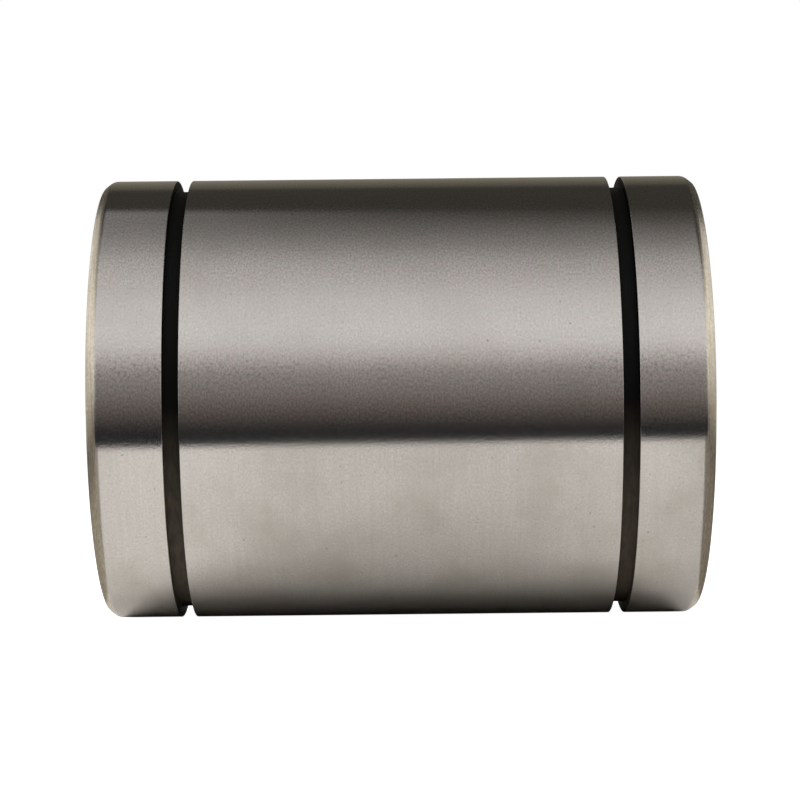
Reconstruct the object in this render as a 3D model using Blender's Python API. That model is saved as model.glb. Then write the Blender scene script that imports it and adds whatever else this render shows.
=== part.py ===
"""Linear ball bushing for a 40 mm shaft: 60 mm outside, 80 mm long, sealed at both ends.

The shaft axis is +X, +Z is up, and the origin is the middle of the bore. Lengths are in metres.
A hardened sleeve holds a plastic cage with six endless ball circuits. In each circuit one straight
row carries the shaft, and the balls come back along a second row that is lifted clear of it. Side
rings, sealing rings and snap rings close both ends.

Each circuit lies in a plane that touches the loaded row's pitch circle. The row therefore lifts off
the shaft by itself as the balls turn round towards the return row.
"""

import math

import bmesh
import bpy
from mathutils import Matrix, Vector

MM = 0.001

# Driving sizes
SHAFT_R = 20.0 * MM
OUTER_R = 30.0 * MM
HALF_LENGTH = 40.0 * MM
BALL_R = 5.556 / 2 * MM
CIRCUITS = 6
ROW_BALLS = 9
BALL_PITCH = 5.6 * MM

# Two circlip grooves round the outside
GROOVE_OUTER_X = 60.5 / 2 * MM
GROOVE_WIDTH = 2.1 * MM
GROOVE_R = 28.5 * MM
END_CHAMFER_X = 1.2 * MM
END_CHAMFER_R = 0.9 * MM

# Ball path: the two balls in each turn stand a quarter turn apart, one ball pitch from each other
LOADED_R = SHAFT_R + BALL_R
TURN_R = BALL_PITCH / math.sqrt(2)
HALF_STRAIGHT = ROW_BALLS * BALL_PITCH / 2
RETURN_ANGLE = math.atan2(2 * TURN_R, LOADED_R)

# Inside of the sleeve
RACEWAY_R = LOADED_R + BALL_R + 0.064 * MM
RACEWAY_HALF = 23.5 * MM
RACEWAY_RAMP_END = 26.3 * MM
RELIEF_R = 27.15 * MM
CHANNEL_R = RELIEF_R - 0.1 * MM
CHANNEL_HALF_ANGLE = math.radians(6.6)
CUTTER_OVERLAP = 1.0 * MM
MOUTH_CHAMFER = 0.6 * MM

# Cage
CAGE_INNER_R = 20.45 * MM
CAGE_OUTER_R = 25.35 * MM
CAGE_HALF = 33.5 * MM
CAGE_CHAMFER = 0.45 * MM
CAGE_FLANGE_WIDTH = 1.0 * MM
POCKET_R = BALL_R + 0.162 * MM
POCKET_TOP = 3.2 * MM  # above the ball's centre, and clear of the cage's outside

# End closures, measured outwards from the cage
FIT_GAP = 0.1 * MM
RING_OUTER_R = RELIEF_R - FIT_GAP
SIDE_RING_X = CAGE_HALF + FIT_GAP
SIDE_RING_WIDTH = 1.0 * MM
SIDE_RING_INNER_R = 20.7 * MM
SEAL_X = SIDE_RING_X + SIDE_RING_WIDTH + FIT_GAP
INSERT_WALL = 0.8 * MM
INSERT_INNER_R = 23.2 * MM
INSERT_DEPTH = 1.6 * MM

# Seal rubber: a flat face at the rim, a shallow recess, and a lip that wipes the shaft
SEAL_FRONT_X = 37.2 * MM
SEAL_FACE_INNER_R = 24.3 * MM
SEAL_RECESS_DEPTH = 0.6 * MM
SEAL_RECESS_OUTER_R = 23.7 * MM
SEAL_RECESS_INNER_R = 22.3 * MM
SEAL_ROOT_R = 22.6 * MM
LIP_R = SHAFT_R + 0.06 * MM
LIP_HEIGHT = 0.5 * MM
LIP_SETBACK = 0.1 * MM
LIP_WIDTH = 0.4 * MM

# Snap rings inside the sleeve
SNAP_GROOVE_X = 37.3 * MM
SNAP_GROOVE_WIDTH = 1.3 * MM
SNAP_GROOVE_R = 28.2 * MM
SNAP_RING_INNER_R = 26.3 * MM
SNAP_RING_GAP = math.radians(15)

# Facets
ROUND_STEPS = 48
BALL_STEPS = 6
BALL_ARC_STEPS = 4
TURN_STEPS = 10
POCKET_STEPS = 6
NECK_R = 0.7 * MM

TAU = 2 * math.pi
SIDES = {"left": -1, "right": 1}


def clear_scene():
    for obj in list(bpy.data.objects):
        bpy.data.objects.remove(obj)


def metal(name, colour, roughness):
    return material(name, colour, roughness, 1.0)


def material(name, colour, roughness, metallic=0.0):
    made = bpy.data.materials.new(name)
    made.use_nodes = True
    shader = made.node_tree.nodes["Principled BSDF"]
    shader.inputs["Base Color"].default_value = (*colour, 1.0)
    shader.inputs["Roughness"].default_value = roughness
    shader.inputs["Metallic"].default_value = metallic
    return made


def object_from(bm, name, finish=None, parent=None):
    """Turns the bmesh into a named object, with smooth faces between sharp edges."""
    bmesh.ops.recalc_face_normals(bm, faces=bm.faces)
    mesh = bpy.data.meshes.new(name)
    bm.to_mesh(mesh)
    bm.free()
    mesh.shade_smooth()
    mesh.set_sharp_from_angle(angle=math.radians(30))
    if finish:
        mesh.materials.append(finish)
    obj = bpy.data.objects.new(name, mesh)
    obj.parent = parent
    bpy.context.scene.collection.objects.link(obj)
    return obj


def wire(bm, points, closed=True):
    """The points joined by edges, as geometry that can be spun or extruded."""
    verts = [bm.verts.new(p) for p in points]
    pairs = list(zip(verts, verts[1:]))
    if closed:
        pairs.append((verts[-1], verts[0]))
    edges = [bm.edges.new(pair) for pair in pairs]
    return verts + edges


def spun_about_x(profile, closed=True, angle=TAU, start=0.0, steps=ROUND_STEPS):
    """A solid turned about X from (x, radius) points. Less than a full turn gets end caps."""
    bm = bmesh.new()
    geometry = wire(bm, [(x, 0, r) for x, r in profile], closed)
    if start:
        turn = Matrix.Rotation(start, 3, "X")
        bmesh.ops.rotate(bm, verts=bm.verts, cent=(0, 0, 0), matrix=turn)
    bmesh.ops.spin(
        bm,
        geom=geometry,
        cent=(0, 0, 0),
        axis=(1, 0, 0),
        angle=angle,
        steps=steps,
        use_merge=angle == TAU,
    )
    if angle != TAU:
        bmesh.ops.holes_fill(bm, edges=[e for e in bm.edges if e.is_boundary])
    bmesh.ops.remove_doubles(bm, verts=bm.verts, dist=1e-7)
    return bm


def mirrored(points, side):
    """The (x, radius) points on the left (-1) or right (1) end."""
    return [(side * x, r) for x, r in points]


def symmetric(half):
    """A closed profile from its right half, which runs from the middle outwards."""
    return half + mirrored(half[::-1], -1)


def cut(target, cutter):
    cutter.hide_render = True
    cutter.display_type = "WIRE"
    boolean = target.modifiers.new("cut " + cutter.name, "BOOLEAN")
    boolean.operation = "DIFFERENCE"
    boolean.object = cutter


def circuit_angle(index):
    """The loaded row's angle about +X, counted from the top."""
    return index * TAU / CIRCUITS


def outer_sleeve(finish):
    groove_inner_x = GROOVE_OUTER_X - GROOVE_WIDTH
    outside = [
        (groove_inner_x, OUTER_R),
        (groove_inner_x, GROOVE_R),
        (GROOVE_OUTER_X, GROOVE_R),
        (GROOVE_OUTER_X, OUTER_R),
        (HALF_LENGTH - END_CHAMFER_X, OUTER_R),
        (HALF_LENGTH, OUTER_R - END_CHAMFER_R),
    ]
    inside = [
        (HALF_LENGTH, RELIEF_R + MOUTH_CHAMFER),
        (HALF_LENGTH - MOUTH_CHAMFER, RELIEF_R),
        (SNAP_GROOVE_X + SNAP_GROOVE_WIDTH, RELIEF_R),
        (SNAP_GROOVE_X + SNAP_GROOVE_WIDTH, SNAP_GROOVE_R),
        (SNAP_GROOVE_X, SNAP_GROOVE_R),
        (SNAP_GROOVE_X, RELIEF_R),
        (RACEWAY_RAMP_END, RELIEF_R),
        (RACEWAY_HALF, RACEWAY_R),
    ]
    sleeve = object_from(spun_about_x(symmetric(outside + inside)), "outer_sleeve", finish)
    half = RACEWAY_RAMP_END + CUTTER_OVERLAP
    inner = RACEWAY_R - CUTTER_OVERLAP
    channel = [(-half, inner), (half, inner), (half, CHANNEL_R), (-half, CHANNEL_R)]
    for index in range(CIRCUITS):
        # A positive turn about X carries the top towards -Y, and the return rows lie on the +Y side.
        middle = circuit_angle(index) - RETURN_ANGLE
        bm = spun_about_x(
            channel,
            angle=2 * CHANNEL_HALF_ANGLE,
            start=middle - CHANNEL_HALF_ANGLE,
            steps=3,
        )
        cut(sleeve, object_from(bm, f"return_channel_cutter_{index + 1}"))
    return sleeve


def pocket_profile():
    """A ball-nosed groove's section: a half circle below the ball's centre and straight walls above."""
    bottom = [
        (POCKET_R * math.cos(a), POCKET_R * math.sin(a))
        for a in (math.pi + math.pi * i / POCKET_STEPS for i in range(POCKET_STEPS + 1))
    ]
    return bottom + [(POCKET_R, POCKET_TOP), (-POCKET_R, POCKET_TOP)]


def pocket_cutter(index, parent):
    """The pocket section swept once round the circuit, with its origin in the middle of the loaded row."""
    bm = bmesh.new()
    section = wire(bm, [(-HALF_STRAIGHT, y, z) for y, z in pocket_profile()])
    for direction in (1, -1):
        grown = bmesh.ops.extrude_edge_only(
            bm, edges=[g for g in section if isinstance(g, bmesh.types.BMEdge)]
        )["geom"]
        moved = [g for g in grown if isinstance(g, bmesh.types.BMVert)]
        straight = Vector((direction * 2 * HALF_STRAIGHT, 0, 0))
        bmesh.ops.translate(bm, verts=moved, vec=straight)
        ends = [g for g in grown if isinstance(g, bmesh.types.BMEdge)]
        ends = [e for e in ends if all(v in moved for v in e.verts)]
        section = bmesh.ops.spin(
            bm,
            geom=moved + ends,
            cent=(direction * HALF_STRAIGHT, TURN_R, 0),
            axis=(0, 0, 1),
            angle=math.pi,
            steps=TURN_STEPS,
        )["geom_last"]
    bmesh.ops.remove_doubles(bm, verts=bm.verts, dist=1e-6)
    cutter = object_from(bm, f"pocket_cutter_{index + 1}", parent=parent)
    cutter.location.z = LOADED_R
    return cutter


def ball_cage(finish, circuits):
    flange_x = CAGE_HALF - CAGE_FLANGE_WIDTH
    half = [
        (flange_x, CAGE_OUTER_R),
        (flange_x, RING_OUTER_R),
        (CAGE_HALF, RING_OUTER_R),
        (CAGE_HALF, CAGE_INNER_R + CAGE_CHAMFER),
        (CAGE_HALF - CAGE_CHAMFER, CAGE_INNER_R),
    ]
    cage = object_from(spun_about_x(symmetric(half)), "ball_cage", finish)
    for index, circuit in enumerate(circuits):
        cut(cage, pocket_cutter(index, circuit))
    return cage


def row_profile():
    """Half the outline of a row of balls in line, joined by thin necks into one body."""
    neck_angle = math.asin(NECK_R / BALL_R)
    arc = math.pi - 2 * neck_angle
    angles = [neck_angle + arc * i / BALL_ARC_STEPS for i in range(BALL_ARC_STEPS + 1)]
    points = []
    for ball in range(ROW_BALLS):
        centre = (ball + 0.5) * BALL_PITCH - HALF_STRAIGHT
        points += [(centre - BALL_R * math.cos(a), BALL_R * math.sin(a)) for a in angles]
    tip = HALF_STRAIGHT - BALL_PITCH / 2 + BALL_R
    return [(-tip, 0), *points, (tip, 0)]


def ball_rows(index, finish, circuit):
    """The loaded row and the return row, each sliding along X."""
    places = {"loaded_balls": 0, "return_balls": 2 * TURN_R}
    for name, y in places.items():
        bm = spun_about_x(row_profile(), closed=False, steps=BALL_STEPS)
        row = object_from(bm, f"{name}_{index + 1}", finish, circuit)
        row.location = (0, y, LOADED_R)


def turn_balls(index, finish, circuit):
    """The two balls in each turn, which swing about the middle of the turn."""
    for side, sign in SIDES.items():
        pivot = bpy.data.objects.new(f"turn_pivot_{index + 1}_{side}", None)
        pivot.parent = circuit
        pivot.location = (sign * HALF_STRAIGHT, TURN_R, LOADED_R)
        bpy.context.scene.collection.objects.link(pivot)
        for letter, angle in (("a", -math.pi / 4), ("b", math.pi / 4)):
            bm = bmesh.new()
            bmesh.ops.create_icosphere(bm, subdivisions=2, radius=BALL_R)
            name = f"turn_ball_{index + 1}_{side}_{letter}"
            ball = object_from(bm, name, finish, pivot)
            ball.location = (sign * TURN_R * math.cos(angle), TURN_R * math.sin(angle), 0)


def side_ring(side, sign, finish):
    outer_x = SIDE_RING_X + SIDE_RING_WIDTH
    profile = [
        (SIDE_RING_X, SIDE_RING_INNER_R),
        (outer_x, SIDE_RING_INNER_R),
        (outer_x, RING_OUTER_R),
        (SIDE_RING_X, RING_OUTER_R),
    ]
    object_from(spun_about_x(mirrored(profile, sign)), f"side_ring_{side}", finish)


def seal_insert(side, sign, finish):
    """The pressed steel ring of L section that stiffens the seal."""
    profile = [
        (SEAL_X, INSERT_INNER_R),
        (SEAL_X + INSERT_WALL, INSERT_INNER_R),
        (SEAL_X + INSERT_WALL, RING_OUTER_R - INSERT_WALL),
        (SEAL_X + INSERT_DEPTH, RING_OUTER_R - INSERT_WALL),
        (SEAL_X + INSERT_DEPTH, RING_OUTER_R),
        (SEAL_X, RING_OUTER_R),
    ]
    object_from(spun_about_x(mirrored(profile, sign)), f"seal_insert_{side}", finish)


def seal_lip(side, sign, finish):
    """The rubber moulded inside and in front of the insert, with a wiping lip on the shaft."""
    back_x = SEAL_X + INSERT_WALL + FIT_GAP
    step_x = SEAL_X + INSERT_DEPTH + FIT_GAP
    step_r = RING_OUTER_R - INSERT_WALL - FIT_GAP
    lip_x = SEAL_FRONT_X - LIP_SETBACK - LIP_WIDTH
    recess_x = SEAL_FRONT_X - SEAL_RECESS_DEPTH
    profile = [
        (back_x, step_r),
        (back_x, SEAL_ROOT_R),
        (lip_x - LIP_WIDTH, LIP_R + LIP_HEIGHT),
        (lip_x, LIP_R),
        (lip_x + LIP_WIDTH, LIP_R),
        (recess_x, SEAL_RECESS_INNER_R),
        (recess_x, SEAL_RECESS_OUTER_R),
        (SEAL_FRONT_X, SEAL_FACE_INNER_R),
        (SEAL_FRONT_X, RING_OUTER_R),
        (step_x, RING_OUTER_R),
        (step_x, step_r),
    ]
    object_from(spun_about_x(mirrored(profile, sign)), f"seal_lip_{side}", finish)


def snap_ring(side, sign, finish):
    """The split retaining ring in the sleeve's inner groove, with its gap at the bottom."""
    outer_r = SNAP_GROOVE_R - FIT_GAP
    inner_x = SNAP_GROOVE_X + FIT_GAP
    outer_x = SNAP_GROOVE_X + SNAP_GROOVE_WIDTH - FIT_GAP
    profile = [
        (inner_x, SNAP_RING_INNER_R),
        (outer_x, SNAP_RING_INNER_R),
        (outer_x, outer_r),
        (inner_x, outer_r),
    ]
    bm = spun_about_x(
        mirrored(profile, sign),
        angle=TAU - SNAP_RING_GAP,
        start=math.pi + SNAP_RING_GAP / 2,
        steps=ROUND_STEPS - 2,
    )
    object_from(bm, f"snap_ring_{side}", finish)


def build():
    clear_scene()
    ground_steel = metal("ground_bearing_steel", (0.60, 0.59, 0.57), 0.3)
    ball_steel = metal("polished_ball_steel", (0.80, 0.80, 0.80), 0.08)
    ring_steel = metal("pressed_steel", (0.52, 0.52, 0.50), 0.35)
    spring_steel = metal("spring_steel", (0.30, 0.30, 0.31), 0.35)
    cage_plastic = material("cage_plastic", (0.83, 0.78, 0.64), 0.45)
    rubber = material("seal_rubber", (0.025, 0.025, 0.027), 0.6)

    circuits = []
    for index in range(CIRCUITS):
        circuit = bpy.data.objects.new(f"circuit_{index + 1}", None)
        circuit.rotation_euler.x = circuit_angle(index)
        bpy.context.scene.collection.objects.link(circuit)
        circuits.append(circuit)

    outer_sleeve(ground_steel)
    ball_cage(cage_plastic, circuits)
    for index, circuit in enumerate(circuits):
        ball_rows(index, ball_steel, circuit)
        turn_balls(index, ball_steel, circuit)
    for side, sign in SIDES.items():
        side_ring(side, sign, ring_steel)
        seal_insert(side, sign, ring_steel)
        seal_lip(side, sign, rubber)
        snap_ring(side, sign, spring_steel)


build()
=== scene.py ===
"""Looks of the linear ball bushing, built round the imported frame.

The shaft axis is X and the origin is the middle of the bore. Sizes below are in millimetres and are
turned into metres by MM. Every fine piece stands for the CAD solid of the same place and moves with
its body.
"""

import math

import bmesh
import bpy
from mathutils import Matrix, Vector


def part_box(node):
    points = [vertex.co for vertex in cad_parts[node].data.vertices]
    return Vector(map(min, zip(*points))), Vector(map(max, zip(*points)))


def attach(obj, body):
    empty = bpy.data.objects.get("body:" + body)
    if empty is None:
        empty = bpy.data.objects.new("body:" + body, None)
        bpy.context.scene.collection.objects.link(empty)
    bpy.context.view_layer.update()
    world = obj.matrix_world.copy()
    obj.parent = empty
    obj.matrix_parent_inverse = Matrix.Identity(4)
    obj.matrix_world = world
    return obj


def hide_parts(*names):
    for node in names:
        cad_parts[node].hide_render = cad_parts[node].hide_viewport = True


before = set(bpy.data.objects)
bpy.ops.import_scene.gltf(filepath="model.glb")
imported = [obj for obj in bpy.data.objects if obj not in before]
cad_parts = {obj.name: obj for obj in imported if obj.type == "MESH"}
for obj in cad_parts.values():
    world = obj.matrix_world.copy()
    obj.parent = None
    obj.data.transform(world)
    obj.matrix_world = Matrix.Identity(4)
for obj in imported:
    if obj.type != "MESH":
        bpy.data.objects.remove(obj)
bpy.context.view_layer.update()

MM = 0.001
MICRON = 0.000001
TAU = 2 * math.pi
DEGREE = math.pi / 180

# Driving sizes, in millimetres
OUTER_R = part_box("outer_sleeve")[1].z / MM
HALF_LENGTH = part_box("outer_sleeve")[1].x / MM
SHAFT_R = 20.0
BALL_R = 5.556 / 2
BALL_PITCH = 5.6
CIRCUITS = 6
ROW_BALLS = 9
FIT_GAP = 0.1
SMOOTH_ANGLE = math.radians(40)

# Ball path
LOADED_R = SHAFT_R + BALL_R
TURN_R = BALL_PITCH / math.sqrt(2)
HALF_STRAIGHT = ROW_BALLS * BALL_PITCH / 2
RETURN_ANGLE = math.atan2(2 * TURN_R, LOADED_R)

# Sleeve
GROOVE_OUTER_X = 30.25
GROOVE_INNER_X = 28.15
GROOVE_R = 28.5
END_CHAMFER_X = 1.2
END_CHAMFER_R = 0.9
RACEWAY_R = LOADED_R + BALL_R + 0.064
RACEWAY_HALF = 23.5
RACEWAY_RAMP_END = 26.3
RELIEF_R = 27.15
CHANNEL_R = 27.05
CHANNEL_HALF_ANGLE = math.radians(6.6)
MOUTH_CHAMFER = 0.6
SNAP_GROOVE_X = 37.3
SNAP_GROOVE_WIDTH = 1.3
SNAP_GROOVE_R = 28.2

# Radii of the sleeve's rounded edges
GROOVE_EDGE = 0.10
GROOVE_CORNER = 0.15
SHOULDER_EDGE = 1.4
FACE_EDGE = 0.7
MOUTH_EDGE = 0.1
SNAP_GROOVE_EDGE = 0.04

# Marks on the sleeve. The groove's browner lower part, and the lower part of the ground steel where its
# grain changes, each begin between two heights.
BROWN_TOP_Z = -1.0
BROWN_BOTTOM_Z = -13.0
LOWER_PART_TOP_Z = -3.0
LOWER_PART_BOTTOM_Z = -8.0
# A rubbed streak along the front, at this arc length from the top
SCUFF_ARC = -43.4
SCUFF_CORE = 0.4
SCUFF_REACH = 3.2
# The grain is faintest on a band round this height, and grows coarser on both sides of it
FINE_Z = 9.8
FINE_HALF = 3.6
FINE_FADE = 7.5

# Cage
CAGE_INNER_R = 20.45
CAGE_OUTER_R = 25.35
CAGE_HALF = 33.5
CAGE_CHAMFER = 0.45
CAGE_FLANGE_WIDTH = 1.0
CAGE_EDGE = 0.12
FLANGE_EDGE = 0.1
FLANGE_CORNER = 0.15
POCKET_R = BALL_R + 0.12
POCKET_TOP = 3.2

# End closures
RING_OUTER_R = RELIEF_R - FIT_GAP
SIDE_RING_X = CAGE_HALF + FIT_GAP
SIDE_RING_WIDTH = 1.0
SIDE_RING_INNER_R = 20.7
RING_EDGE = 0.15
SEAL_X = SIDE_RING_X + SIDE_RING_WIDTH + FIT_GAP
INSERT_WALL = 0.8
INSERT_INNER_R = 23.2
INSERT_DEPTH = 1.6
INSERT_EDGE = 0.12
INSERT_CORNER = 0.1
INSERT_BACK_EDGE = 0.3
SEAL_FRONT_X = 37.2
SEAL_EDGE = 0.05
SEAL_FRONT_EDGE = 0.12
RECESS_INNER_R = 22.3
RECESS_OUTER_R = 23.7
RECESS_RIM_R = 24.3
RECESS_DEPTH = 0.6
RECESS_EDGE = 0.25
RECESS_RIM_EDGE = 0.2
LIP_R = SHAFT_R + 0.06
LIP_BACK_R = 22.6
LIP_HEIGHT = 0.5
LIP_SETBACK = 0.1
LIP_WIDTH = 0.4
LIP_EDGE = 0.08
LIP_BACK_EDGE = 0.1
SNAP_RING_INNER_R = 26.3
SNAP_RING_GAP = math.radians(15)

# Mesh detail
TURNED_STEPS = 288
SNAP_RING_STEPS = 276
CAGE_STEPS = 192
EDGE_STEPS = 4
POCKET_STEPS = 20
POCKET_TURN_STEPS = 28
BALL_CUTS = 7
BALL_TUMBLE = 1.7

SIDES = {"left": -1, "right": 1}

# Camera: about level with the bushing's axis, square to it, and rolled a little
CAMERA_DISTANCE = 345.0
CAMERA_LENS = 112.3
CAMERA_ROLL = math.radians(-0.6)
CAMERA_X = -0.124
CAMERA_Z = -0.47

# Stage
FLOOR_Z = -OUTER_R - 0.05
SHEET_GAP = 0.1
FLOOR_HALF = 6000.0
BOARD_FRONT_Y = {-1: -80.5, 1: -86.5}
BOARD_BACK_Y = 700.0
BOARD_HALF_X = 49.0
BOARD_WAIST_Y = -22.0
BOARD_WAIST_X = 42.5
CARD_FRONT_Y = -116.0
CARD_TONE = (0.012, 0.013, 0.0155)
TABLE_HALF = 900.0
TENT_R = 900.0
TENT_HALF_X = 900.0
TENT_STEPS = 105
TENT_END_X = {"left": 600.0, "right": 750.0}
TENT_END_HALF_Y = 900.0
TENT_END_BOTTOM_Z = -250.0
TENT_END_TOP_Z = 900.0
TENT_END_GLOW = 1.13
OVERHEAD_HALF_X = 500.0
OVERHEAD_BACK_Y = 610.0
# The front edge of an overhead card is given at this distance to the left and right
OVERHEAD_EDGE_X = 95.0
# Dark cards over the bushing, as (colour, height, y of the front edge at the left and at the right). They
# glow faintly and are seen in the metal alone: painted dark reflections.
OVERHEAD_REFLECTION_CARDS = {
    "dark_reflection_card": ((0.060, 0.0565, 0.048), 500, (210, 147)),
    "grey_reflection_card": ((0.105, 0.098, 0.088), 506, (214, 66)),
}
# Soft lights that the metal doesn't mirror, as (place, size, watts)
PANELS = {
    "front_panel": ((0, -420, 560), (620, 400), 2.75),
    "left_panel": ((-600, 40, 200), (300, 240), 4.0),
    "right_panel": ((600, 40, 200), (300, 240), 2.35),
    "left_bounce": ((-200, -100, 35), (60, 60), 0.14),
    "right_front": ((330, -400, 420), (300, 240), 1.1),
}


# ---------------------------------------------------------------- materials


# Tones of the sleeve's ground steel. The tints multiply the grain's colour.
GRAIN_DARK = (0.435, 0.422, 0.407)
GRAIN_PALE = (0.62, 0.607, 0.591)
TINT_ROSY = (1.09, 0.94, 1.06)
TINT_GREEN = (0.93, 1.05, 0.93)
LINE_TONE = (0.445, 0.43, 0.405)
STAIN_TONE = (0.395, 0.378, 0.338)
PIT_TONE = (0.14, 0.12, 0.10)
SCUFF_TONE = (0.25, 0.255, 0.245)

# The Mix node's factor and colour inputs, and its colour output, by place
MIX_INPUTS = (0, 6, 7)
MIX_RESULT = 2


def darker(colour, share):
    return tuple(share * c for c in colour)


class Finish:
    """A material's node tree, with its Principled shader at hand. A colour is (r, g, b) or a socket."""

    def __init__(self, name):
        self.material = bpy.data.materials.new(name)
        self.material.use_nodes = True
        self.tree = self.material.node_tree
        self.shader = self.tree.nodes["Principled BSDF"]

    def set(self, **values):
        """Constants, or sockets, on the shader's own inputs. An underscore stands for a space."""
        for key, value in values.items():
            self.feed(self.shader.inputs[key.replace("_", " ")], value)

    def feed(self, socket, value):
        """Links a socket to this one, or sets its number, vector or colour."""
        if isinstance(value, bpy.types.NodeSocket):
            self.tree.links.new(value, socket)
        elif value is not None:
            socket.default_value = (*value, 1) if socket.type == "RGBA" else value

    def node(self, kind, inputs=(), **settings):
        made = self.tree.nodes.new("ShaderNode" + kind)
        for key, value in settings.items():
            setattr(made, key, value)
        pairs = inputs.items() if isinstance(inputs, dict) else enumerate(inputs)
        for key, value in pairs:
            self.feed(made.inputs[key], value)
        return made

    def math(self, operation, *values):
        return self.node("Math", values, operation=operation).outputs[0]

    def vector_math(self, operation, *values):
        return self.node("VectorMath", values, operation=operation).outputs[0]

    def product(self, first, *others):
        for other in others:
            first = self.math("MULTIPLY", first, other)
        return first

    def position(self):
        return self.node("TexCoord").outputs["Object"]

    def parts(self, vector):
        """The x, y and z of a vector."""
        return self.node("SeparateXYZ", [vector]).outputs

    def length(self, a, b):
        squares = [self.math("POWER", side, 2.0) for side in (a, b)]
        return self.math("SQRT", self.math("ADD", *squares))

    def unrolled(self):
        """The point as (x, arc length round the axis, radius), in millimetres. The seam is underneath."""
        x, y, z = self.parts(self.position())
        arc = self.math("MULTIPLY", self.math("ARCTAN2", y, z), OUTER_R)
        scaled = [self.math("DIVIDE", x, MM), arc, self.math("DIVIDE", self.length(y, z), MM)]
        return self.node("CombineXYZ", scaled).outputs[0]

    def stretched(self, unrolled, scale):
        """The unrolled point with its arc length scaled. Below 1, patterns are drawn out round the axis."""
        return self.node("Mapping", {"Vector": unrolled, "Scale": (1.0, scale, 1.0)}).outputs[0]

    def noise(self, vector, scale, detail=2.0, roughness=0.5):
        inputs = {"Vector": vector, "Scale": scale, "Detail": detail, "Roughness": roughness}
        return self.node("TexNoise", inputs).outputs["Fac"]

    def ramp(self, value, low, high, to_low=0.0, to_high=1.0):
        """The value from low to high, spread over to_low to to_high and held beyond."""
        return self.node("MapRange", [value, low, high, to_low, to_high]).outputs[0]

    def mix(self, share, a, b):
        """Colour a, or colour b where the share is 1."""
        made = self.node("Mix", data_type="RGBA")
        for index, value in zip(MIX_INPUTS, (share, a, b)):
            self.feed(made.inputs[index], value)
        return made.outputs[MIX_RESULT]

    def bump(self, height, microns, normal=None):
        """Bumps of this height. Strength stays at 1."""
        inputs = {"Strength": 1.0, "Distance": microns * MICRON, "Height": height, "Normal": normal}
        return self.node("Bump", inputs).outputs[0]


def ground_steel(name):
    """Cylindrically ground and lightly tumbled bearing steel, with faint stains and a few pits.

    It is sandy above; lower down the grain is weaker, and the grinding lines and stains show more. The
    grain is fainter on one band, and grows coarser on both sides of it.
    """
    finish = Finish(name)
    unrolled = finish.unrolled()
    arc = finish.parts(unrolled)[1]
    height = finish.parts(finish.position())[2]
    # Lower down the grain weakens, and the lines and stains strengthen.
    lower_part = finish.ramp(height, LOWER_PART_TOP_Z * MM, LOWER_PART_BOTTOM_Z * MM)

    speckle = finish.noise(finish.stretched(unrolled, 0.7), 3.9, 3.0, 0.75)
    off_band = finish.math("ABSOLUTE", finish.math("SUBTRACT", height, FINE_Z * MM))
    coarse = finish.ramp(off_band, FINE_HALF * MM, FINE_FADE * MM, 1.0, 2.3)
    grain = finish.ramp(lower_part, 0.0, 1.0, 1.0, 0.42)
    uneven = finish.ramp(finish.noise(unrolled, 0.9, 2.0, 0.6), 0.35, 0.65, 0.65, 1.45)
    strength = finish.product(grain, uneven, coarse, 2.4)
    sandy = finish.product(finish.math("SUBTRACT", speckle, 0.5), strength)
    base = finish.mix(finish.math("ADD", sandy, 0.5), GRAIN_DARK, GRAIN_PALE)

    tint = finish.noise(finish.stretched(unrolled, 0.7), 2.6, 3.0, 0.7)
    toned = finish.mix(finish.ramp(tint, 0.35, 0.65), TINT_ROSY, TINT_GREEN)
    tinted = finish.product(grain, coarse, 0.5)
    base = finish.mix(tinted, base, finish.vector_math("MULTIPLY", base, toned))

    lines = finish.noise(finish.stretched(unrolled, 0.045), 1.7, 3.0, 0.65)
    lined = finish.product(finish.ramp(lines, 0.35, 0.75), finish.ramp(lower_part, 0.0, 1.0, 0.2, 0.45))
    base = finish.mix(lined, base, LINE_TONE)

    stain = finish.noise(finish.stretched(unrolled, 0.8), 0.11, 5.0, 0.6)
    stained = finish.product(finish.ramp(stain, 0.48, 0.70), finish.ramp(lower_part, 0.0, 1.0, 0.25, 0.55))
    base = finish.mix(stained, base, STAIN_TONE)

    pits = finish.noise(finish.stretched(unrolled, 0.8), 1.6, 1.0, 0.4)
    base = finish.mix(finish.ramp(pits, 0.76, 0.79, 0.0, 0.5), base, PIT_TONE)

    beside = finish.math("ABSOLUTE", finish.math("SUBTRACT", arc, SCUFF_ARC))
    scuffs = finish.noise(finish.stretched(unrolled, 0.9), 2.4, 3.0, 0.65)
    patchy = finish.ramp(finish.noise(unrolled, 0.09, 2.0, 0.5), 0.4, 0.6, 0.55, 1.0)
    streak = finish.product(finish.ramp(beside, SCUFF_CORE, SCUFF_REACH, 0.85, 0.0), patchy)
    base = finish.mix(finish.product(finish.ramp(scuffs, 0.52, 0.66, 0.12, 1.0), streak), base, SCUFF_TONE)

    rough = finish.ramp(speckle, 0.3, 0.7, 0.155, 0.185)
    rough = finish.math("ADD", rough, finish.ramp(stain, 0.5, 0.7, 0.0, 0.02))
    bumped = finish.bump(lines, 3, finish.bump(speckle, 8))
    finish.set(Base_Color=base, Metallic=1.0, Roughness=rough, Normal=bumped)
    finish.set(Anisotropic=0.9, Anisotropic_Rotation=0.25)
    finish.set(Tangent=finish.node("Tangent", axis="X").outputs[0])
    return finish.material


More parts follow.
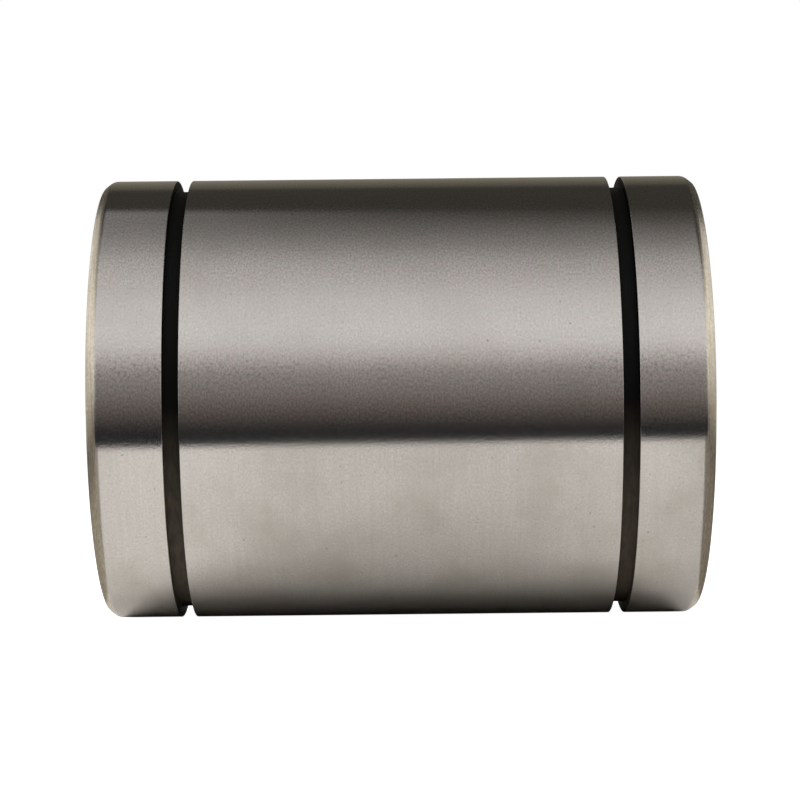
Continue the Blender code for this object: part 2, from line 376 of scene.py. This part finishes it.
def turned_steel(name):
    """The chamfers: turned before hardening, rougher and warmer than the ground surface."""
    finish = Finish(name)
    unrolled = finish.unrolled()
    speckle = finish.noise(unrolled, 2.2, 3.0, 0.65)
    rings = finish.noise(finish.stretched(unrolled, 0.04), 5.0, 2.0, 0.6)
    base = finish.mix(finish.ramp(speckle, 0.35, 0.65), (0.56, 0.51, 0.43), (0.70, 0.65, 0.56))
    base = finish.mix(finish.ramp(rings, 0.45, 0.75, 0.0, 0.6), base, (0.42, 0.37, 0.30))
    bumped = finish.bump(rings, 8, finish.bump(speckle, 12))
    finish.set(Base_Color=base, Metallic=1.0, Normal=bumped)
    finish.set(Roughness=finish.ramp(rings, 0.3, 0.7, 0.24, 0.34))
    return finish.material


def heat_scale(name):
    """The retaining-ring grooves: black scale from hardening, browner in the lower half."""
    finish = Finish(name)
    patches = finish.noise(finish.stretched(finish.unrolled(), 0.25), 1.3, 4.0, 0.65)
    height = finish.parts(finish.position())[2]
    # Black above, and browner towards the bottom.
    browner = finish.ramp(height, BROWN_BOTTOM_Z * MM, BROWN_TOP_Z * MM, 1.0, 0.0)
    lower_tone = finish.mix(finish.ramp(patches, 0.35, 0.7), (0.055, 0.046, 0.036), (0.095, 0.079, 0.060))
    base = finish.mix(browner, (0.0032, 0.0031, 0.0030), lower_tone)
    finish.set(Base_Color=base, Specular_IOR_Level=0.075, Normal=finish.bump(patches, 30))
    finish.set(Roughness=finish.ramp(patches, 0.3, 0.7, 0.45, 0.6))
    return finish.material


def hard_steel(name, colour, roughness):
    """Plain bare steel, with fine turning lines and a little cloudiness."""
    finish = Finish(name)
    unrolled = finish.unrolled()
    lines = finish.noise(finish.stretched(unrolled, 0.02), 6.0, 3.0, 0.6)
    cloud = finish.noise(unrolled, 0.35, 3.0, 0.5)
    base = finish.mix(finish.ramp(cloud, 0.35, 0.65), darker(colour, 0.82), colour)
    finish.set(Base_Color=base, Metallic=1.0, Normal=finish.bump(lines, 6))
    finish.set(Roughness=finish.ramp(cloud, 0.3, 0.7, roughness - 0.05, roughness + 0.07))
    return finish.material


def polished_balls(name):
    """Lapped bearing balls under a thin film of oil."""
    finish = Finish(name)
    cloud = finish.noise(finish.position(), 900.0, 3.0, 0.5)
    base = finish.mix(cloud, (0.60, 0.59, 0.57), (0.68, 0.67, 0.66))
    finish.set(Base_Color=base, Metallic=1.0, Coat_Weight=0.25, Coat_Roughness=0.08)
    finish.set(Roughness=finish.ramp(cloud, 0.3, 0.7, 0.05, 0.10))
    return finish.material


def cage_plastic(name):
    """Moulded ivory acetal, satin, slightly mottled."""
    finish = Finish(name)
    cloud = finish.noise(finish.position(), 120.0, 4.0, 0.55)
    grain = finish.noise(finish.position(), 4500.0, 2.0, 0.5)
    base = finish.mix(finish.ramp(cloud, 0.3, 0.7), (0.78, 0.73, 0.60), (0.86, 0.82, 0.71))
    finish.set(Base_Color=base, Normal=finish.bump(grain, 6))
    finish.set(Roughness=finish.ramp(cloud, 0.3, 0.7, 0.34, 0.46))
    finish.set(Subsurface_Weight=0.08, Subsurface_Radius=(0.002, 0.0015, 0.001))
    return finish.material


def seal_rubber(name):
    """Black nitrile rubber with a moulded satin skin and a trace of grease."""
    finish = Finish(name)
    grain = finish.noise(finish.position(), 3500.0, 3.0, 0.6)
    cloud = finish.noise(finish.position(), 160.0, 3.0, 0.5)
    base = finish.mix(finish.ramp(cloud, 0.3, 0.7), (0.012, 0.012, 0.013), (0.026, 0.025, 0.025))
    finish.set(Base_Color=base, Normal=finish.bump(grain, 10))
    finish.set(Roughness=finish.ramp(cloud, 0.3, 0.7, 0.42, 0.6))
    return finish.material


# ---------------------------------------------------------------- shapes


def rounded(points):
    """The closed outline (x, radius, edge radius) with each corner turned into a short arc."""
    outline = []
    for index, (x, r, edge) in enumerate(points):
        corner = Vector((x, r))
        before = (Vector(points[index - 1][:2]) - corner).normalized()
        after = (Vector(points[(index + 1) % len(points)][:2]) - corner).normalized()
        half = before.angle(after) / 2
        if not edge:
            outline.append(corner)
            continue
        middle = corner + (before + after).normalized() * edge / math.sin(half)
        first = corner + before * edge / math.tan(half) - middle
        last = corner + after * edge / math.tan(half) - middle
        turn = first.angle_signed(last)
        for step in range(EDGE_STEPS + 1):
            outline.append(middle + Matrix.Rotation(-turn * step / EDGE_STEPS, 2) @ first)
    return outline


def mirrored(points, side):
    """The points on the left (-1) or right (1) end."""
    return [(side * x, r, edge) for x, r, edge in points]


def symmetric(half):
    """A closed outline from its right half."""
    return half + mirrored(half[::-1], -1)


def piece(bm, name, materials, replaced):
    """Turns the bmesh into a smooth piece that rides on the sleeve and stands for the CAD nodes."""
    bmesh.ops.recalc_face_normals(bm, faces=bm.faces)
    mesh = bpy.data.meshes.new(name)
    bm.to_mesh(mesh)
    bm.free()
    mesh.shade_smooth()
    mesh.set_sharp_from_angle(angle=SMOOTH_ANGLE)
    for material in materials:
        mesh.materials.append(material)
    obj = bpy.data.objects.new(name, mesh)
    bpy.context.scene.collection.objects.link(obj)
    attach(obj, "sleeve_assembly")
    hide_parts(*replaced)
    return obj


def weighted(obj):
    """Keeps flat faces flat beside their rounded edges."""
    modifier = obj.modifiers.new("face normals", "WEIGHTED_NORMAL")
    modifier.keep_sharp = True


def turned(outline, steps=TURNED_STEPS, span=TAU, start=0.0, radius_at=None, finish_at=None):
    """Turns the (x, radius) outline, in millimetres, about the X axis.

    radius_at may change a point's radius by its angle, and finish_at picks a face's material.
    """
    bm = bmesh.new()
    closed = span == TAU
    rings = []
    for step in range(steps if closed else steps + 1):
        angle = start + span * step / steps
        ring = []
        for x, r in outline:
            r = radius_at(x, r, angle) if radius_at else r
            ring.append(bm.verts.new((x * MM, -r * MM * math.sin(angle), r * MM * math.cos(angle))))
        rings.append(ring)
    count = len(outline)
    pairs = list(zip(rings, rings[1:] + rings[:1])) if closed else list(zip(rings, rings[1:]))
    for ring, following in pairs:
        for i in range(count):
            j = (i + 1) % count
            face = bm.faces.new((ring[i], ring[j], following[j], following[i]))
            if finish_at:
                x = (outline[i][0] + outline[j][0]) / 2
                r = (outline[i][1] + outline[j][1]) / 2
                face.material_index = finish_at(abs(x), r)
    if not closed:
        bm.faces.new(rings[0])
        bm.faces.new(rings[-1][::-1])
    return bm


def channel_radius(x, r, angle):
    """The sleeve's raceway is cut deeper over the six return rows."""
    if abs(x) > RACEWAY_RAMP_END or r > CHANNEL_R:
        return r
    from_row = (angle + RETURN_ANGLE) % (TAU / CIRCUITS)
    from_row = min(from_row, TAU / CIRCUITS - from_row)
    return CHANNEL_R if from_row < CHANNEL_HALF_ANGLE else r


GROUND, SCALE, TURNED, RACEWAY = range(4)
TOUCH = 0.02


def sleeve_finish(x, r):
    """The finish of a face of the sleeve by its middle: its distance from the centre and its radius."""
    in_groove = GROOVE_INNER_X - TOUCH < x < GROOVE_OUTER_X + TOUCH
    if in_groove and GROOVE_R - TOUCH < r < OUTER_R - GROOVE_EDGE - TOUCH:
        return SCALE
    if r > RELIEF_R + TOUCH and HALF_LENGTH - END_CHAMFER_X < x < HALF_LENGTH - TOUCH:
        return TURNED
    if r > RELIEF_R + TOUCH:
        return GROUND
    return RACEWAY


def outer_sleeve():
    outside = [
        (GROOVE_INNER_X, OUTER_R, GROOVE_EDGE),
        (GROOVE_INNER_X, GROOVE_R, GROOVE_CORNER),
        (GROOVE_OUTER_X, GROOVE_R, GROOVE_CORNER),
        (GROOVE_OUTER_X, OUTER_R, GROOVE_EDGE),
        (HALF_LENGTH - END_CHAMFER_X, OUTER_R, SHOULDER_EDGE),
        (HALF_LENGTH, OUTER_R - END_CHAMFER_R, FACE_EDGE),
    ]
    inside = [
        (HALF_LENGTH, RELIEF_R + MOUTH_CHAMFER, MOUTH_EDGE),
        (HALF_LENGTH - MOUTH_CHAMFER, RELIEF_R, MOUTH_EDGE),
        (SNAP_GROOVE_X + SNAP_GROOVE_WIDTH, RELIEF_R, SNAP_GROOVE_EDGE),
        (SNAP_GROOVE_X + SNAP_GROOVE_WIDTH, SNAP_GROOVE_R, SNAP_GROOVE_EDGE),
        (SNAP_GROOVE_X, SNAP_GROOVE_R, SNAP_GROOVE_EDGE),
        (SNAP_GROOVE_X, RELIEF_R, SNAP_GROOVE_EDGE),
        (RACEWAY_RAMP_END, RELIEF_R, 0),
        (RACEWAY_HALF, RACEWAY_R, 0),
    ]
    outline = rounded(symmetric(outside + inside))
    materials = [
        ground_steel("ground_steel"),
        heat_scale("groove_scale"),
        turned_steel("turned_steel"),
        hard_steel("raceway_steel", (0.5, 0.49, 0.47), 0.22),
    ]
    bm = turned(outline, radius_at=channel_radius, finish_at=sleeve_finish)
    weighted(piece(bm, "ground_sleeve", materials, ["outer_sleeve"]))


def circuit_matrix(index):
    """From the circuit's own plane to the row frame: the loaded row lies along X at the origin."""
    return Matrix.Rotation(index * TAU / CIRCUITS, 4, "X") @ Matrix.Translation((0, 0, LOADED_R * MM))


def pocket_path():
    """The circuit's centreline as (point, direction across it) pairs, once round."""
    for side in (1, -1):
        for step in range(POCKET_TURN_STEPS + 1):
            angle = math.pi * step / POCKET_TURN_STEPS
            across = Vector((side * math.sin(angle), -side * math.cos(angle), 0))
            centre = Vector((side * HALF_STRAIGHT, TURN_R, 0))
            yield centre + across * TURN_R, across


def pocket_cutter(index):
    """A ball-nosed groove once round the circuit, open towards the sleeve."""
    section = [
        (POCKET_R * math.cos(a), POCKET_R * math.sin(a))
        for a in (math.pi + math.pi * i / POCKET_STEPS for i in range(POCKET_STEPS + 1))
    ]
    section += [(POCKET_R, POCKET_TOP), (-POCKET_R, POCKET_TOP)]
    bm = bmesh.new()
    rings = []
    for centre, across in pocket_path():
        points = [centre + across * a + Vector((0, 0, b)) for a, b in section]
        rings.append([bm.verts.new(p * MM) for p in points])
    for ring, following in zip(rings, rings[1:] + rings[:1]):
        for i in range(len(section)):
            j = (i + 1) % len(section)
            bm.faces.new((ring[i], ring[j], following[j], following[i]))
    bmesh.ops.recalc_face_normals(bm, faces=bm.faces)
    mesh = bpy.data.meshes.new("pocket_cutter")
    bm.to_mesh(mesh)
    bm.free()
    mesh.transform(circuit_matrix(index))
    cutter = bpy.data.objects.new("pocket_cutter", mesh)
    bpy.context.scene.collection.objects.link(cutter)
    return cutter


def cut(obj, cutters):
    """Takes the cutters out of the object, for good."""
    for cutter in cutters:
        boolean = obj.modifiers.new("cut", "BOOLEAN")
        boolean.object = cutter
    evaluated = obj.evaluated_get(bpy.context.evaluated_depsgraph_get())
    mesh = bpy.data.meshes.new_from_object(evaluated)
    obj.modifiers.clear()
    obj.data = mesh
    for cutter in cutters:
        bpy.data.objects.remove(cutter)
    mesh.shade_smooth()
    mesh.set_sharp_from_angle(angle=SMOOTH_ANGLE)


def ball_cage():
    flange_x = CAGE_HALF - CAGE_FLANGE_WIDTH
    half = [
        (flange_x, CAGE_OUTER_R, FLANGE_CORNER),
        (flange_x, RING_OUTER_R, FLANGE_EDGE),
        (CAGE_HALF, RING_OUTER_R, FLANGE_EDGE),
        (CAGE_HALF, CAGE_INNER_R + CAGE_CHAMFER, CAGE_EDGE),
        (CAGE_HALF - CAGE_CHAMFER, CAGE_INNER_R, CAGE_EDGE),
    ]
    bm = turned(rounded(symmetric(half)), steps=CAGE_STEPS)
    cage = piece(bm, "moulded_cage", [cage_plastic("cage_plastic")], ["ball_cage"])
    cut(cage, [pocket_cutter(index) for index in range(CIRCUITS)])
    weighted(cage)


def ball_mesh(material):
    """A ball from a cube's faces, divided and pushed out to the sphere."""
    bm = bmesh.new()
    bmesh.ops.create_cube(bm, size=2.0)
    bmesh.ops.subdivide_edges(bm, edges=bm.edges, cuts=BALL_CUTS, use_grid_fill=True)
    for vert in bm.verts:
        spread = Vector([math.tan(c * math.pi / 4) for c in vert.co])
        vert.co = spread.normalized() * BALL_R * MM
    mesh = bpy.data.meshes.new("bearing_ball")
    bm.to_mesh(mesh)
    bm.free()
    mesh.shade_smooth()
    mesh.materials.append(material)
    return mesh


def ball(mesh, name, index, place, body, node):
    """One ball at a place in its circuit's plane, turned in its own way so that no two look alike."""
    obj = bpy.data.objects.new(name, mesh)
    tumble = Matrix.Rotation(place[0] * BALL_TUMBLE + place[1] + index, 4, (1, 2, 3))
    obj.matrix_world = circuit_matrix(index) @ Matrix.Translation(Vector(place) * MM) @ tumble
    bpy.context.scene.collection.objects.link(obj)
    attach(obj, body)
    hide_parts(node)


def ball_circuit(index, mesh):
    """The 22 balls of one circuit: two straight rows and two balls in each turn."""
    number = index + 1
    for row, y in (("loaded", 0.0), ("return", 2 * TURN_R)):
        for place in range(ROW_BALLS):
            x = (place + 0.5) * BALL_PITCH - HALF_STRAIGHT
            name = f"{row}_ball_{number}_{place + 1}"
            ball(mesh, name, index, (x, y, 0), f"circuit_{number}_{row}", f"{row}_balls_{number}")
    for side, sign in SIDES.items():
        for letter, angle in (("a", -math.pi / 4), ("b", math.pi / 4)):
            x = sign * (HALF_STRAIGHT + TURN_R * math.cos(angle))
            y = TURN_R + TURN_R * math.sin(angle)
            node = f"turn_ball_{number}_{side}_{letter}"
            name = f"ball_{number}_{side}_turn_{letter}"
            ball(mesh, name, index, (x, y, 0), f"circuit_{number}_turn_{side}", node)


def end_ring(name, side, sign, points, material, slot, node, **span):
    """A ring at one end, turned from its outline at the right end. A span makes it a split ring."""
    bm = turned(rounded(mirrored(points, sign)), **span)
    weighted(piece(bm, f"{name}_{side}", [material], [f"{node}_{side}"]))


def side_ring_outline():
    outer_x = SIDE_RING_X + SIDE_RING_WIDTH
    return [
        (SIDE_RING_X, SIDE_RING_INNER_R, RING_EDGE),
        (outer_x, SIDE_RING_INNER_R, RING_EDGE),
        (outer_x, RING_OUTER_R, RING_EDGE),
        (SIDE_RING_X, RING_OUTER_R, RING_EDGE),
    ]


def insert_outline():
    """A flat ring with a short wall at its rim, pressed from sheet."""
    return [
        (SEAL_X, INSERT_INNER_R, INSERT_EDGE),
        (SEAL_X + INSERT_WALL, INSERT_INNER_R, INSERT_EDGE),
        (SEAL_X + INSERT_WALL, RING_OUTER_R - INSERT_WALL, INSERT_CORNER),
        (SEAL_X + INSERT_DEPTH, RING_OUTER_R - INSERT_WALL, INSERT_EDGE),
        (SEAL_X + INSERT_DEPTH, RING_OUTER_R, INSERT_EDGE),
        (SEAL_X, RING_OUTER_R, INSERT_BACK_EDGE),
    ]


def seal_outline():
    """Rubber in front of the insert: a flat rim, a shallow recess, and a lip that wipes the shaft."""
    back_x = SEAL_X + INSERT_WALL + FIT_GAP
    step_x = SEAL_X + INSERT_DEPTH + FIT_GAP
    step_r = RING_OUTER_R - INSERT_WALL - FIT_GAP
    lip_x = SEAL_FRONT_X - LIP_SETBACK - LIP_WIDTH
    recess_x = SEAL_FRONT_X - RECESS_DEPTH
    return [
        (back_x, step_r, SEAL_EDGE),
        (back_x, LIP_BACK_R, LIP_BACK_EDGE),
        (lip_x - LIP_WIDTH, LIP_R + LIP_HEIGHT, LIP_BACK_EDGE),
        (lip_x, LIP_R, LIP_EDGE),
        (lip_x + LIP_WIDTH, LIP_R, LIP_EDGE),
        (recess_x, RECESS_INNER_R, RECESS_EDGE),
        (recess_x, RECESS_OUTER_R, RECESS_EDGE),
        (SEAL_FRONT_X, RECESS_RIM_R, RECESS_RIM_EDGE),
        (SEAL_FRONT_X, RING_OUTER_R, SEAL_FRONT_EDGE),
        (step_x, RING_OUTER_R, SEAL_EDGE),
        (step_x, step_r, SEAL_EDGE),
    ]


def snap_ring_outline():
    inner_x = SNAP_GROOVE_X + FIT_GAP
    outer_x = SNAP_GROOVE_X + SNAP_GROOVE_WIDTH - FIT_GAP
    return [
        (inner_x, SNAP_RING_INNER_R, RING_EDGE),
        (outer_x, SNAP_RING_INNER_R, RING_EDGE),
        (outer_x, SNAP_GROOVE_R - FIT_GAP, RING_EDGE),
        (inner_x, SNAP_GROOVE_R - FIT_GAP, RING_EDGE),
    ]


def end_closures():
    pressed = hard_steel("pressed_steel", (0.50, 0.49, 0.47), 0.32)
    spring = hard_steel("spring_steel", (0.30, 0.30, 0.31), 0.34)
    rubber = seal_rubber("seal_rubber")
    gap = {"span": TAU - SNAP_RING_GAP, "start": math.pi + SNAP_RING_GAP / 2, "steps": SNAP_RING_STEPS}
    for side, sign in SIDES.items():
        end_ring("washer", side, sign, side_ring_outline(), pressed, "ring_steel", "side_ring")
        end_ring("seal_stiffener", side, sign, insert_outline(), pressed, "ring_steel", "seal_insert")
        end_ring("rubber_seal", side, sign, seal_outline(), rubber, "seal_rubber", "seal_lip")
        snap = snap_ring_outline()
        end_ring("retaining_ring", side, sign, snap, spring, "spring_steel", "snap_ring", **gap)


# ---------------------------------------------------------------- stage


def only(obj, *rays):
    """The object is there for these kinds of ray alone."""
    for ray in ("camera", "diffuse", "glossy", "transmission", "volume_scatter", "shadow"):
        setattr(obj, f"visible_{ray}", ray in rays)


# The soft light above and in front, as (degrees up from the front horizon, colour)
TENT_LIGHT = [
    (-30, (0.019, 0.020, 0.023)),
    (-17, (0.019, 0.020, 0.023)),
    (-6, (0.155, 0.133, 0.12)),
    (6, (0.31, 0.285, 0.27)),
    (13, (0.44, 0.405, 0.39)),
    (19, (0.70, 0.655, 0.635)),
    (26, (0.89, 0.855, 0.84)),
    (35, (0.95, 0.93, 0.915)),
    (50, (0.88, 0.85, 0.83)),
    (63, (0.70, 0.67, 0.65)),
    (73, (0.545, 0.525, 0.51)),
    (83, (0.345, 0.33, 0.315)),
    (94, (0.212, 0.201, 0.189)),
    (104, (0.130, 0.123, 0.115)),
    (113, (0.108, 0.102, 0.094)),
    (135, (0.085, 0.080, 0.065)),
    (143, (0.12, 0.11, 0.085)),
    (150, (0.165, 0.150, 0.117)),
    (180, (0.30, 0.27, 0.215)),
]
# Light added to the tent over the left end. A ramp is (from, to, value at from, value at to): here
# by x in millimetres, and by degrees up.
LIFT_X = (-125, -75, 1.0, 0.0)
LIFT_RISES = [(55, 80, 0.0, 0.16), (90, 112, 0.0, 0.07)]
LIFT_END = (114, 117, 1.0, 0.0)
# The tent's gain towards each end, and its loss far out overhead, as two ramps: by x, and by degrees up
LEFT_GAIN = ((-150, -30, 0.14, 0.0), (8, 35, 0.4, 1.0))
RIGHT_GAIN = ((0, 120, 0.0, 0.17), (20, 60, 1.0, 0.0))
FAR_LOSS = ((160, 320, 0.0, 0.7), (80, 105, 0.0, 1.0))
# The side light at the tent's ends, as (degrees up, colour)
END_LIGHT = [
    (-12, (0.09, 0.083, 0.074)),
    (-4, (0.30, 0.28, 0.25)),
    (0, (0.56, 0.53, 0.48)),
    (8, (0.76, 0.73, 0.68)),
    (16, (1.0, 0.98, 0.93)),
    (28, (1.0, 0.97, 0.92)),
    (50, (0.25, 0.24, 0.22)),
]
# The white board under the bushing, as (distance from the middle, colour); its darker middle is painted
# shade, the bushing's shadow on the board
BOARD_TONE_AND_SHADE = [
    (0, (0.79, 0.76, 0.715)),
    (16, (0.79, 0.76, 0.715)),
    (32, (0.94, 0.905, 0.855)),
    (49, (0.96, 0.925, 0.87)),
]
# The table beside the board, as (distance from the middle, colour)
SIDE_TONES = {
    "left": [
        (41, (0.45, 0.415, 0.36)),
        (68, (0.36, 0.33, 0.285)),
        (84, (0.20, 0.185, 0.165)),
        (105, (0.085, 0.078, 0.07)),
        (165, (0.085, 0.078, 0.07)),
        (245, (0.30, 0.275, 0.24)),
        (400, (0.42, 0.385, 0.335)),
    ],
    "right": [
        (41, (0.33, 0.305, 0.265)),
        (62, (0.29, 0.265, 0.23)),
        (84, (0.26, 0.24, 0.205)),
        (105, (0.14, 0.13, 0.113)),
        (165, (0.13, 0.12, 0.105)),
        (245, (0.32, 0.295, 0.255)),
        (400, (0.42, 0.385, 0.335)),
    ],
}


def sheet(name, points, faces, material, *rays):
    """A stage surface through points in millimetres, there for these kinds of ray alone."""
    mesh = bpy.data.meshes.new(name)
    mesh.from_pydata([tuple(c * MM for c in point) for point in points], [], faces)
    mesh.materials.append(material)
    obj = bpy.data.objects.new(name, mesh)
    bpy.context.scene.collection.objects.link(obj)
    only(obj, *rays)


def glow(finish, colour, strength=1.0):
    """Makes the finish give off the colour and reflect nothing."""
    finish.set(Base_Color=(0, 0, 0), Specular_IOR_Level=0.0, Emission_Strength=strength)
    finish.set(Emission_Color=colour)
    return finish.material


def shaded(finish, value, stops, unit):
    """A colour that changes with a value, from (value, colour) stops given in the unit."""
    low, high = stops[0][0], stops[-1][0]
    ramp = finish.node("ValToRGB", [finish.ramp(value, low * unit, high * unit)])
    elements = ramp.color_ramp.elements
    while len(elements) < len(stops):
        elements.new(0.5)
    for element, (place, colour) in zip(elements, stops):
        element.position = (place - low) / (high - low)
        element.color = (*colour, 1)
    return ramp.outputs[0]


def light_tent():
    """A long half-round tent about the bushing's axis, there for reflections alone."""
    finish = Finish("light_tent")
    x, y, z = finish.parts(finish.position())
    angle = finish.math("ARCTAN2", z, finish.math("MULTIPLY", y, -1.0))
    distance = finish.math("ABSOLUTE", x)

    def along(value, low, high, *ends):
        return finish.ramp(value, low * MM, high * MM, *ends)

    def up(low, high, *ends):
        return finish.ramp(angle, low * DEGREE, high * DEGREE, *ends)

    def patch(value, ramps):
        return finish.product(along(value, *ramps[0]), up(*ramps[1]))

    rise = finish.math("ADD", *[up(*ramp) for ramp in LIFT_RISES])
    lift = finish.product(along(x, *LIFT_X), finish.product(rise, up(*LIFT_END)))
    gain = finish.math("ADD", finish.math("ADD", patch(x, LEFT_GAIN), patch(x, RIGHT_GAIN)), 1.0)
    gain = finish.product(gain, finish.math("SUBTRACT", 1.0, patch(distance, FAR_LOSS)))
    colour = finish.vector_math("ADD", shaded(finish, angle, TENT_LIGHT, DEGREE), lift)
    colour = finish.vector_math("MULTIPLY", colour, gain)

    low, high = TENT_LIGHT[0][0], TENT_LIGHT[-1][0]
    points = []
    for step in range(TENT_STEPS + 1):
        a = math.radians(low + (high - low) * step / TENT_STEPS)
        points += [(s * TENT_HALF_X, -TENT_R * math.cos(a), TENT_R * math.sin(a)) for s in (-1, 1)]
    faces = [(2 * i, 2 * i + 1, 2 * i + 3, 2 * i + 2) for i in range(TENT_STEPS)]
    sheet("light_tent", points, faces, glow(finish, colour), "glossy")


def tent_end(side, sign):
    """The upright end of the tent: brightest above the horizon, and darker below it."""
    finish = Finish(f"tent_end_{side}")
    x, y, z = finish.parts(finish.position())
    up = finish.math("ARCTAN2", z, finish.length(x, y))
    colour = shaded(finish, up, END_LIGHT, DEGREE)
    end_x, half = sign * TENT_END_X[side], TENT_END_HALF_Y
    corners = [(end_x, y, TENT_END_BOTTOM_Z) for y in (-half, half)]
    corners += [(end_x, y, TENT_END_TOP_Z) for y in (half, -half)]
    sheet(f"tent_end_{side}", corners, [(0, 1, 2, 3)], glow(finish, colour, TENT_END_GLOW), "glossy")


def overhead_reflection_card(name, colour, height, edge):
    """A card over the bushing, behind a front edge given by its y at the left and at the right. It glows
    faintly and is seen in the metal alone, as a painted dark reflection.
    """
    finish = Finish(name)
    cloud = finish.noise(finish.position(), 3.0, 2.0, 0.5)
    tone = finish.mix(cloud, darker(colour, 0.9), colour)
    slope = (edge[1] - edge[0]) / (2 * OVERHEAD_EDGE_X)
    middle = (edge[0] + edge[1]) / 2
    front = [(x, middle + slope * x, height) for x in (-OVERHEAD_HALF_X, OVERHEAD_HALF_X)]
    back = [(x, OVERHEAD_BACK_Y, height) for x in (OVERHEAD_HALF_X, -OVERHEAD_HALF_X)]
    sheet(name, front + back, [(0, 1, 2, 3)], glow(finish, tone), "glossy")


def panel(name, place, size, power):
    """A soft area light that looks at the bushing. The metal doesn't mirror it."""
    light = bpy.data.lights.new(name, "AREA")
    light.shape = "RECTANGLE"
    light.size = size[0] * MM
    light.size_y = size[1] * MM
    light.energy = power
    obj = bpy.data.objects.new(name, light)
    obj.location = Vector(place) * MM
    obj.rotation_euler = (-obj.location).to_track_quat("-Z", "Y").to_euler()
    obj.visible_glossy = False
    bpy.context.scene.collection.objects.link(obj)


def matt(finish, tone):
    finish.set(Base_Color=tone, Roughness=0.9, Specular_IOR_Level=0.1)
    return finish.material


def paper(name, colour):
    """A matt card with a faint cloudiness."""
    finish = Finish(name)
    cloud = finish.noise(finish.position(), 9.0, 2.0, 0.5)
    return matt(finish, finish.mix(cloud, darker(colour, 0.96), colour))


def toned_paper(name, tones):
    """Matt paper whose tone changes with the distance from the bushing's middle."""
    finish = Finish(name)
    x = finish.parts(finish.position())[0]
    tone = shaded(finish, finish.math("ABSOLUTE", x), tones, MM)
    cloud = finish.noise(finish.position(), 9.0, 2.0, 0.5)
    return matt(finish, finish.mix(finish.ramp(cloud, 0.0, 1.0, 0.0, 0.08), tone, (0, 0, 0)))


def level(name, corners, z, material, *rays):
    """A flat sheet at one height, through corners (x, y)."""
    sheet(name, [(x, y, z) for x, y in corners], [tuple(range(len(corners)))], material, *rays)


def rectangle(half_x, front_y, back_y):
    return [(-half_x, front_y), (half_x, front_y), (half_x, back_y), (-half_x, back_y)]


def floor():
    """The plain white floor, which the camera sees and the metal doesn't."""
    finish = Finish("floor_white")
    cloud = finish.noise(finish.position(), 6.0, 2.0, 0.5)
    finish.set(Base_Color=finish.mix(cloud, (0.7, 0.7, 0.7), (0.75, 0.75, 0.75)), Roughness=0.9)
    finish.set(Emission_Color=(1, 1, 1), Emission_Strength=1.0)
    square = rectangle(FLOOR_HALF, -FLOOR_HALF, FLOOR_HALF)
    level("floor", square, FLOOR_Z - 3 * SHEET_GAP, finish.material, "camera")


def boards():
    """What the metal mirrors from below: a white board, a table beside it, and a dark card in front."""
    rays = ("glossy", "diffuse")
    board = [(s * BOARD_HALF_X, BOARD_FRONT_Y[s]) for s in (-1, 1)]
    for s in (1, -1):
        board += [(s * BOARD_WAIST_X, y) for y in (BOARD_WAIST_Y, BOARD_BACK_Y)[::s]]
    # The board's darker middle is painted shade from the bushing, not lit shade.
    level("board", board, FLOOR_Z, toned_paper("board_white_and_painted_shade", BOARD_TONE_AND_SHADE), *rays)
    for side, sign in SIDES.items():
        inner_x, outer_x = sign * BOARD_WAIST_X, sign * TABLE_HALF
        strip = [(inner_x, BOARD_FRONT_Y[sign]), (outer_x, BOARD_FRONT_Y[sign])]
        strip += [(outer_x, BOARD_BACK_Y), (inner_x, BOARD_BACK_Y)]
        tabletop = toned_paper(f"table_{side}", SIDE_TONES[side])
        level(f"side_board_{side}", strip, FLOOR_Z - SHEET_GAP, tabletop, *rays)
    card = rectangle(TABLE_HALF, CARD_FRONT_Y, BOARD_BACK_Y)
    level("front_card", card, FLOOR_Z - 2 * SHEET_GAP, paper("card_dark", CARD_TONE), *rays)


def surroundings():
    """Plain white all round, which lights no matt surface."""
    world = bpy.data.worlds.new("studio")
    bpy.context.scene.world = world
    world.use_nodes = True
    background = world.node_tree.nodes["Background"]
    background.inputs["Color"].default_value = (1, 1, 1, 1)
    background.inputs["Strength"].default_value = 1.0
    world.cycles_visibility.diffuse = False
    bpy.context.scene.view_settings.view_transform = "Standard"


def stage():
    floor()
    boards()
    light_tent()
    for side, sign in SIDES.items():
        tent_end(side, sign)
    for name, (colour, height, edge) in OVERHEAD_REFLECTION_CARDS.items():
        overhead_reflection_card(name, colour, height, edge)
    for name, (place, size, power) in PANELS.items():
        panel(name, place, size, power)
    surroundings()


def camera():
    data = bpy.data.cameras.new("camera")
    data.lens = CAMERA_LENS
    data.sensor_width = 36.0
    data.clip_start = 0.01
    data.clip_end = 20.0
    obj = bpy.data.objects.new("camera", data)
    obj.location = (CAMERA_X * MM, -CAMERA_DISTANCE * MM, CAMERA_Z * MM)
    upright = Matrix.Rotation(math.radians(90), 3, "X")
    obj.rotation_euler = (upright @ Matrix.Rotation(CAMERA_ROLL, 3, "Z")).to_euler()
    bpy.context.scene.collection.objects.link(obj)
    bpy.context.scene.camera = obj


camera()
outer_sleeve()
ball_cage()
balls = ball_mesh(polished_balls("ball_steel"))
for circuit in range(CIRCUITS):
    ball_circuit(circuit, balls)
end_closures()
stage()
